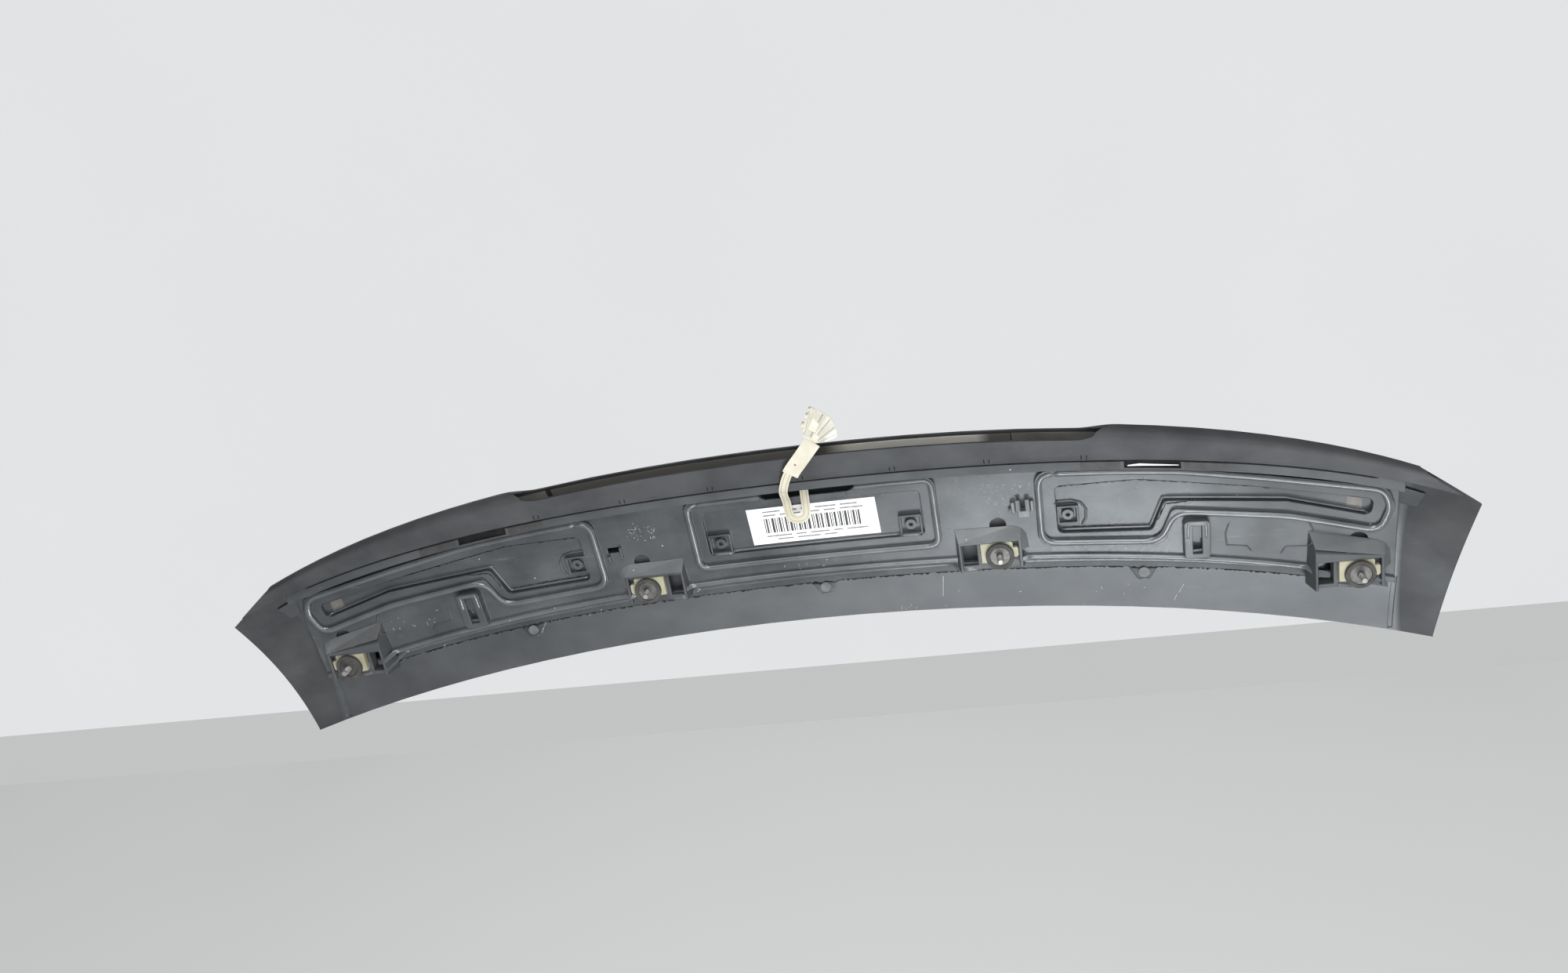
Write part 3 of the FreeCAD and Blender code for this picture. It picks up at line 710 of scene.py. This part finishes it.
def ribs(name, lines, size, mat, trees, step, wobble=0.0):
    verts, faces = [], []
    width, high = size
    profile = ribForm["profile"]
    n = len(profile)
    for line in lines:
        pts = fineLine(line, step)
        first = True
        for i, (x, y) in enumerate(pts):
            ax, ay = pts[max(i - 1, 0)]
            bx, by = pts[min(i + 1, len(pts) - 1)]
            run = math.hypot(bx - ax, by - ay) or 1.0
            nx, ny = -(by - ay) / run, (bx - ax) / run
            swing = wobble * chance.uniform(-1.0, 1.0)
            w = width * (1.0 + (chance.uniform(*ribForm["varyWidth"]) if wobble else 0.0)) / 2
            h = high * (1.0 + (chance.uniform(*ribForm["varyHigh"]) if wobble else 0.0))
            if i in (0, len(pts) - 1):
                w, h = w * ribForm["tip"][0], h * ribForm["tip"][1]
            z = under(x + nx * swing, y + ny * swing, *trees)
            if z is None:
                first = True
                continue
            for k, lift in profile:
                verts.append((x + nx * (swing + w * k), y + ny * (swing + w * k), z - h * lift))
            if not first:
                a = len(verts) - 2 * n
                for j in range(a, a + n - 1):
                    faces.append((j, j + 1, j + n + 1, j + n))
            first = False
    return makePiece(name, verts, faces, mat)


seam = {"y": (-105.4, 24.7, 21.3), "half": 488, "step": 8, "off": 2.1, "gapSize": (1.7, 0.12), "fine": 3.0,
        "ticks": 3, "pitch": 83.5, "apart": 4.5, "tick": (5.0, 0.4), "tickSize": (1.0, 0.35), "tickFine": 1.0}
weld = {"y": (19.7, 25.9, 17.8), "half": 496, "step": 4, "out": 1.3, "size": (2.0, 0.7), "fine": 2.0,
        "wobble": 0.8, "ears": (-299, 0, 299), "ear": ((-14, -1.5), (-5.5, 12.6), (5.5, 12.6), (14, -1.5)),
        "earSize": (1.5, 0.8), "earFine": 1.5}


def seamTicks():
    lines = []
    far, near = seam["tick"]
    for i in range(-seam["ticks"], seam["ticks"] + 1):
        for shift in (-0.5, 0.5):
            x = i * seam["pitch"] + shift * seam["apart"]
            y = even(x, seam["y"])
            lines.append([(x, y - far), (x, y - near)])
    return lines


seamLine = along(seam["half"], seam["step"], seam["y"], seam["off"])
ribs("seam_gap", [seamLine], seam["gapSize"], gapAndSlotShadeMat, onShell, seam["fine"])
ribs("seam_ticks", seamTicks(), seam["tickSize"], gapAndSlotShadeMat, (skinTree,), seam["tickFine"])
weldLine = along(weld["half"], weld["step"], weld["y"], weld["out"])
ribs("weld_flash", [weldLine], weld["size"], meltMat, onBoth, weld["fine"], weld["wobble"])
earLines = [[(x + dx, even(x, weld["y"]) + dy) for dx, dy in weld["ear"]] for x in weld["ears"]]
ribs("ear_edges", earLines, weld["earSize"], paintedHighlightMat, onBoth, weld["earFine"])

beads = {"side": ((207, -84), (206, -5), (316, 1), (328, -29), (420, -19), (496, 0), (505, -28), (498, -47),
                  (404, -64), (330, -76), (280, -80)), "sideRound": 14.0,
         "centre": ((-118, -88), (-118, -11), (118, -11), (118, -88)), "centreRound": 10.0,
         "inset": 3.0, "size": (5.6, 1.3), "fine": 2.5,
         "frontHalf": 500, "frontStep": 6, "front": (-17.5, -7.6), "frontSize": (4.8, 1.2), "frontFine": 4.0}
cornerShare = 0.45  # a rounding takes at most this much of an edge
cornerSteps = 4


def insetRing(ring, by):
    area = sum(a[0] * b[1] - b[0] * a[1] for a, b in zip(ring, ring[1:] + ring[:1]))
    by = by if area > 0 else -by
    out = []
    for i, p in enumerate(ring):
        a, b = Vector(ring[i - 1]), Vector(ring[(i + 1) % len(ring)])
        p = Vector(p)
        d1, d2 = (p - a).normalized(), (b - p).normalized()
        n = Vector((-d1.y, d1.x)) + Vector((-d2.y, d2.x))
        out.append(p + n * (2 * by / n.length_squared))
    return out


def rounded(ring, radius):
    out = []
    for i, p in enumerate(ring):
        a, b = ring[i - 1], ring[(i + 1) % len(ring)]
        p, a, b = Vector(p), Vector(a), Vector(b)
        cut = min(radius, cornerShare * (a - p).length, cornerShare * (b - p).length)
        start, stop = p + (a - p).normalized() * cut, p + (b - p).normalized() * cut
        for j in range(cornerSteps + 1):
            t = j / cornerSteps
            out.append(tuple(start * (1 - t) ** 2 + p * 2 * t * (1 - t) + stop * t ** 2))
    return out + out[:1]


sideBead = rounded(insetRing(beads["side"], beads["inset"]), beads["sideRound"])
centreBead = rounded(insetRing(beads["centre"], beads["inset"]), beads["centreRound"])
ribs("pocket_beads", mirrored([sideBead]) + [centreBead], beads["size"], paintedHighlightMat, onShell,
     beads["fine"])
frontBeads = [along(beads["frontHalf"], beads["frontStep"], weld["y"], off) for off in beads["front"]]
ribs("front_beads", frontBeads, beads["frontSize"], paintedHighlightMat, onShell, beads["frontFine"])
print("stage: seam and beads made")

slots = {"x": (282, 333), "y": (1.8, 9.6), "steps": 8, "probe": 0.9, "deep": 1.6}


# the slot floors are painted very dark, a painted shade for the depth of the slots
def slotFloors():
    verts, faces = [], []
    x0, x1 = slots["x"]
    for side in (-1, 1):
        for i in range(slots["steps"] + 1):
            x = side * (x0 + (x1 - x0) * i / slots["steps"])
            y = even(x, seam["y"])
            z = under(x, y + slots["probe"], shellTree) + slots["deep"]
            verts += [(x, y + d, z) for d in slots["y"]]
            if i:
                joinRow(verts, faces)
    makePiece("slot_floors", verts, faces, gapAndSlotShadeMat)


slotFloors()

sockets = {"frame": (((336.2, -6), (336.6, -21.4), (351.4, -21.4), (351.8, -6)),), "size": (3.0, 0.6),
           "fine": 1.5, "x": (340.2, 347.8), "rows": ((-18.8, -5.5, 1.6), (6.2, 9.8, 1.2)), "wall": 336.0}


def socketTongues():
    verts, faces = [], []
    for side in (-1, 1):
        for y0, y1, deep in sockets["rows"]:
            for y in (y0, y1):
                z = under(side * sockets["wall"], y, shellTree) + deep
                verts += [(side * x, y, z) for x in sockets["x"]]
            joinRow(verts, faces)
    makePiece("socket_tongues", verts, faces, shellMat, False)


socketTongues()

# dark discs set into the tower holes: a painted shade for the dark inside of the holes
holes = {"places": ((170.3, -29.5), (478.1, 5.6)), "radius": 9.0, "probe": 9.5, "deep": 3.4, "dip": 0.8,
         "round": 28}


def holeFloors():
    verts, faces = [], []
    n, r = holes["round"], holes["radius"]
    right, left = mirrored([holes["places"]])
    for x, y in right + left:
        z = under(x - holes["probe"], y, shellTree) + holes["deep"]
        k = len(verts)
        for i in range(n):
            a = 2 * math.pi * i / n
            verts.append((x + r * math.cos(a), y + r * math.sin(a), z))
        verts.append((x, y, z + holes["dip"]))
        faces += [(k + i, k + n, k + (i + 1) % n) for i in range(n)]
    makePiece("hole_floors", verts, faces, tabMat)


holeFloors()

# places are x, y, top and slant, outlines are from the stud
towers = {"places": ((169.3, 0.0, 2.0, 0.0), (477.1, 35.1, -32.1, 0.2)), "end": 20.5,
          "top": ((-37, -16), (20.5, -16), (20.5, -4)), "topUp": 0.15,
          "foot": ((-39.5, -28.0), (14, -28.0), (21.5, -25.5), (26, -19), (27.5, -4), (-38.4, -22.4)),
          "footUp": 0.2, "faces": ((0, 1, 4, 3), (1, 5, 4), (1, 6, 5), (1, 2, 7, 6), (0, 3, 8))}


def towerRoofs():
    verts, faces = [], []
    for side in (-1, 1):
        for cx, cy, top, slant in towers["places"]:
            k = len(verts)
            for u, v in towers["top"]:
                lean = slant * max(towers["end"] - u, 0.0)
                verts.append((side * (cx + u), cy + v - lean, top - towers["topUp"]))
            for u, v in towers["foot"]:
                lean = slant * max(towers["end"] - u, 0.0)
                x, y = side * (cx + u), cy + v - lean
                verts.append((x, y, under(x, y, shellTree) - towers["footUp"]))
            for face in towers["faces"]:
                ring = tuple(k + i for i in face)
                faces.append(ring if side > 0 else ring[::-1])
    makePiece("tower_roofs", verts, faces, roofSheenMat, False)


towerRoofs()

recess = {"trail": (-139.9, 39.4, 24.8), "spans": ((-300, -236), (191, 300)), "step": 5, "in": (8.0, 18.5),
          "skin": 3.0, "off": 0.3}


def recessBack():
    verts, faces = [], []
    for x0, x1 in recess["spans"]:
        first = True
        for x in range(x0, x1 + 1, recess["step"]):
            rows = [even(x, recess["trail"]) + d for d in recess["in"]]
            starts = [Vector((x * mm, y * mm, probeFar)) for y in rows]
            hits = [skinTree.ray_cast(start, Vector((0, 0, -1)))[0] for start in starts]
            if None in hits:
                first = True
                continue
            verts += [(x, y, h.z / mm - recess["skin"] - recess["off"]) for y, h in zip(rows, hits)]
            if not first:
                joinRow(verts, faces)
            first = False
    makePiece("recess_back", verts, faces, recessMat)


recessBack()

flangeTabs = {"x": ((247, 281), (334, 370)), "y": (3.0, 10.0), "steps": 6, "probe": 6.0, "off": 0.35}
sliver = {"rear": ((287, 6.8), (297, 5.4), (329.5, 6.2)), "front": ((329.5, 6.7), (299, 7.4), (287, 7.8)),
          "off": 0.15}


def tabFields():
    verts, faces = [], []
    for side in (-1, 1):
        for x0, x1 in flangeTabs["x"]:
            for i in range(flangeTabs["steps"] + 1):
                x = side * (x0 + (x1 - x0) * i / flangeTabs["steps"])
                y = even(x, seam["y"])
                z = under(x, y + flangeTabs["probe"], shellTree) - flangeTabs["off"]
                verts += [(x, y + d, z) for d in flangeTabs["y"]]
                if i:
                    joinRow(verts, faces)
    makePiece("flange_tabs", verts, faces, tabMat)


# a pale sliver in the right slot in label paper colour, a painted highlight
def slotHighlight():
    ring = []
    for x, d in sliver["rear"] + sliver["front"]:
        y = even(x, seam["y"])
        z = under(x, y + slots["probe"], shellTree) + slots["deep"] - sliver["off"]
        ring.append((x, y + d, z))
    makePiece("slot_painted_highlight", ring, [tuple(range(len(ring)))], paperAndHighlightMat, False)


tabFields()
slotHighlight()

shellMarks = {"fillets": (((227, -17.6), (305.5, -14.8), (317, -44.6), (420, -37.7), (485, -20.2)),),
              "middle": ((-99, -27.6), (99, -27.6)), "filletSize": (3.6, 2.2), "filletFine": 2.5,
              "steps": (((372.5, -17.3), (369.1, -6), (370.2, 6.6), (386.7, 8.3), (391.3, 14.3)),
                        ((414.8, 18), (419.3, 10.7), (437.3, 10.7), (441.4, -6.2), (437.4, -15.1))),
              "stepSize": (1.8, 0.8), "stepFine": 2.0,
              "surrounds": (((222, -47.5), (238, -47.5), (246, -45), (250.5, -38), (250, -28), (246, -21)),),
              "surroundSize": (3.0, 1.6), "surroundFine": 1.5,
              "melt": (((228, -19), (262, -18.5), (304, -16), (312, -24), (319, -40), (350, -42), (420, -38),
                        (470, -24)), ((226, -63), (296, -64.5), (392, -50.5), (462, -39.5))),
              "meltSize": (1.0, 0.5), "meltFine": 2.0, "meltWobble": 0.5}
ribs("pocket_fillets", mirrored(shellMarks["fillets"]) + [shellMarks["middle"]], shellMarks["filletSize"],
     paintedHighlightMat, onShell, shellMarks["filletFine"])
ribs("socket_frames", mirrored(sockets["frame"]), sockets["size"], paintedHighlightMat, onShell,
     sockets["fine"])
ribs("shell_steps", mirrored(shellMarks["steps"]), shellMarks["stepSize"], shellMat,
     onShell, shellMarks["stepFine"])
ribs("boss_surrounds", mirrored(shellMarks["surrounds"]), shellMarks["surroundSize"], shellMat,
     onShell, shellMarks["surroundFine"])
ribs("pocket_melt", mirrored(shellMarks["melt"]), shellMarks["meltSize"], meltMat, onShell,
     shellMarks["meltFine"], shellMarks["meltWobble"])
print("stage: shell forms made")


def patch(name, fields, trees, off, mat):
    verts, faces = [], []
    for corners in fields:
        k = len(verts)
        places = [(x, y, under(x, y, *trees)) for x, y in corners]
        if any(z is None for _, _, z in places):
            continue
        verts += [(x, y, z - off) for x, y, z in places]
        faces.append(tuple(range(k, len(verts))))
    return makePiece(name, verts, faces, mat, False)


inserts = {"corners": ((469, -36), (481, -33.5), (481, -22.5), (469, -25.5)), "off": 0.3}
patch("pocket_inserts", mirrored([inserts["corners"]]), onShell, inserts["off"], insertMat)

# rows are x, y and the widths of the bars that stand for words
label = {"rows": ((-46, -66.5, (17, 12, 9, 20, 16)), (-46, -62.5, (12, 20, 14, 11, 22)),
                  (-46, -39.8, (24, 10, 18, 9, 20)), (-36, -36.0, (15, 22, 12))),
         "line": 1.5, "space": 4.0, "bars": (-46, -58.5, 92, 16.0), "off": 0.05,
         "wide": (0.9, 1.7, 0.7, 2.3, 1.1, 0.8, 1.9), "open": (0.8, 1.1, 1.9, 0.7, 1.3)}


def bar(x, y, w, h):
    return [(x, y), (x + w, y), (x + w, y + h), (x, y + h)]


def labelPrint():
    lines = []
    for x, y, words in label["rows"]:
        for w in words:
            lines.append(bar(x, y, w, label["line"]))
            x += w + label["space"]
    x, y, span, high = label["bars"]
    stripes, at, i = [], 0.0, 0
    while at < span:
        wide = label["wide"][i % len(label["wide"])]
        stripes.append(bar(x + at, y, wide, high))
        at += wide + label["open"][i % len(label["open"])]
        i += 1
    patch("label_lines", lines, (labelTree,), label["off"], greyInkMat)
    patch("label_bars", stripes, (labelTree,), label["off"], inkMat)


labelPrint()
print("stage: label printed")

# areas are x from and to, y from and to, count and size
scuffs = {"areas": ((158, 206, -74, -50, 46, 3.0), (-178, -150, -73, -52, 34, 3.0),
                    (-40, 14, -8, -1, 12, 2.2), (180, 330, 44, 66, 8, 3.0), (-430, -350, -8, 8, 14, 3.0),
                    (60, 130, 30, 66, 9, 4.0)),
          "share": (0.25, 1.0), "thin": (0.08, 0.22),
          "long": (((113.4, 27), (112.2, 38)), ((112.4, 36), (111, 47)), ((334, 53.3), (329, 61)),
                   ((327, 63), (324.4, 67.8))), "longEnds": (0.25, 0.2), "off": 0.06}


def scuffMarks():
    fields = []
    for x0, x1, y0, y1, count, size in scuffs["areas"]:
        for _ in range(count):
            x, y = chance.uniform(x0, x1), chance.uniform(y0, y1)
            angle = chance.uniform(0, math.pi)
            half = size * chance.uniform(*scuffs["share"]) / 2
            thin = chance.uniform(*scuffs["thin"])
            dx, dy = math.cos(angle) * half, math.sin(angle) * half
            ox, oy = -math.sin(angle) * thin, math.cos(angle) * thin
            fields.append([(x - dx - ox, y - dy - oy), (x + dx - ox, y + dy - oy),
                           (x + dx + ox, y + dy + oy), (x - dx + ox, y - dy + oy)])
    wa, wb = scuffs["longEnds"]
    for (xa, ya), (xb, yb) in scuffs["long"]:
        fields.append([(xa - wa, ya), (xa + wa, ya), (xb + wb, yb), (xb - wb, yb)])
    patch("scuff_marks", fields, onBoth, scuffs["off"], scuffMat)


scuffMarks()
print("stage: marks made")

paleTone = {"noise": (3.0, 3.0), "stops": (0.3, 0.8), "lift": 1.02}


def oneSided(name, color, onlyCamera, glow, thin=0.0):
    mat, tree, bsdf = newMat(name)
    tree.nodes.remove(bsdf)
    low, high = paleTone["stops"]
    lifted = [c * paleTone["lift"] for c in color]
    paint = ramp(tree, noise(tree, *paleTone["noise"]), (low, color), (high, lifted))
    diffuse = tree.nodes.new("ShaderNodeBsdfDiffuse")
    lit = node(tree, "ShaderNodeEmission", Strength=glow)
    blend = tree.nodes.new("ShaderNodeMixShader")
    blend.inputs[0].default_value = glow
    for socket in (diffuse.inputs[0], lit.inputs[0]):
        tree.links.new(paint, socket)
    tree.links.new(diffuse.outputs[0], blend.inputs[1])
    tree.links.new(lit.outputs[0], blend.inputs[2])
    clear = tree.nodes.new("ShaderNodeBsdfTransparent")
    mix = tree.nodes.new("ShaderNodeMixShader")
    geo = tree.nodes.new("ShaderNodeNewGeometry")
    rays = tree.nodes.new("ShaderNodeLightPath")
    hide = math2(tree, "MAXIMUM", geo.outputs["Backfacing"], rays.outputs["Is Shadow Ray"])
    through = math2(tree, "MULTIPLY", rays.outputs["Is Glossy Ray"], thin)  # lights behind still glint
    hide = math2(tree, "MAXIMUM", hide, through)
    if onlyCamera:
        hide = math2(tree, "MAXIMUM", hide, math2(tree, "SUBTRACT", 1.0, rays.outputs["Is Camera Ray"]))
    tree.links.new(hide, mix.inputs[0])
    tree.links.new(blend.outputs[0], mix.inputs[1])
    tree.links.new(clear.outputs[0], mix.inputs[2])
    tree.links.new(mix.outputs[0], tree.nodes["Material Output"].inputs[0])
    return mat


stage = {"half": 2500, "tableY": 117.5, "tableZ": (-67.5, -3000), "backZ": 34.4, "wallEnd": -2500,
         "apronEnd": 900, "floorHalf": 4000, "floorZ": -67}


def stagePlane(name, corners, mat):
    obj = makeMesh(name, corners, [(0, 1, 2, 3)], mat, False)


def flat(half, y0, y1, z):
    return ((-half, y0, z), (half, y0, z), (half, y1, z), (-half, y1, z))


def upright(half, y, z0, z1):
    return ((-half, y, z0), (-half, y, z1), (half, y, z1), (half, y, z0))


tableMat = oneSided("table_pale", (0.82, 0.835, 0.83), False, 0.6, 0.55)
wallMat = oneSided("wall_pale", (0.76, 0.765, 0.775), True, 1.0)
apronMat = oneSided("apron_pale", (0.535, 0.55, 0.545), True, 1.0)
floorMat = oneSided("floor_pale", (0.82, 0.82, 0.82), True, 0.4)
stagePlane("stage_table", upright(stage["half"], stage["tableY"], *stage["tableZ"]), tableMat)
stagePlane("stage_wall", flat(stage["half"], stage["tableY"], stage["wallEnd"], stage["backZ"]), wallMat)
stagePlane("stage_apron", flat(stage["half"], stage["apronEnd"], stage["tableY"], stage["backZ"]), apronMat)
stagePlane("stage_floor", flat(stage["floorHalf"], -stage["floorHalf"], stage["floorHalf"], stage["floorZ"]),
           floorMat)

lights = {"light_top": {"place": (0.1, -1.5, -0.9), "target": (0, 0, 0), "size": (1.6, 0.8), "power": 17},
          "light_front": {"place": (0.34, 0.50, -1.65), "target": (0.2, 0, 0), "size": (1.2, 1.2),
                          "power": 18},
          "light_low": {"place": (0.28, 1.05, -1.05), "target": (0.2, 0, 0), "size": (0.7, 0.35),
                        "power": 14},
          "light_flash": {"place": (0.22, -0.78, -1.22), "target": (0.05, -0.05, 0), "size": (0.5, 0.4),
                          "power": 6},
          "light_above": {"place": (-0.6, 0.4, 1.9), "target": (0, 0, 0), "size": (2.0, 2.0), "power": 36}}


def areaLight(name, place, target, size, power):
    data = bpy.data.lights.new(name, "AREA")
    data.shape = "RECTANGLE"
    data.size, data.size_y = size
    data.energy = power
    obj = bpy.data.objects.new(name, data)
    scene.collection.objects.link(obj)
    obj.location = Vector(place)
    aim = (Vector(target) - Vector(place)).to_track_quat("-Z", "Y")
    obj.rotation_euler = aim.to_euler()


for name, setting in lights.items():
    areaLight(name, **setting)

sky = {"color": (0.86, 0.865, 0.87, 1.0), "light": 0.30, "seen": 0.95}
world = bpy.data.worlds.new("studio")
scene.world = world
world.use_nodes = True
skyTree = world.node_tree
backdrop = skyTree.nodes["Background"]
backdrop.inputs["Color"].default_value = sky["color"]
skyRays = skyTree.nodes.new("ShaderNodeLightPath")
skyLevel = remap(skyTree, skyRays.outputs["Is Camera Ray"], 0.0, 1.0, sky["light"], sky["seen"])
skyTree.links.new(skyLevel, backdrop.inputs["Strength"])

scene.view_settings.view_transform = "Standard"
print("stage: lights and stage set")
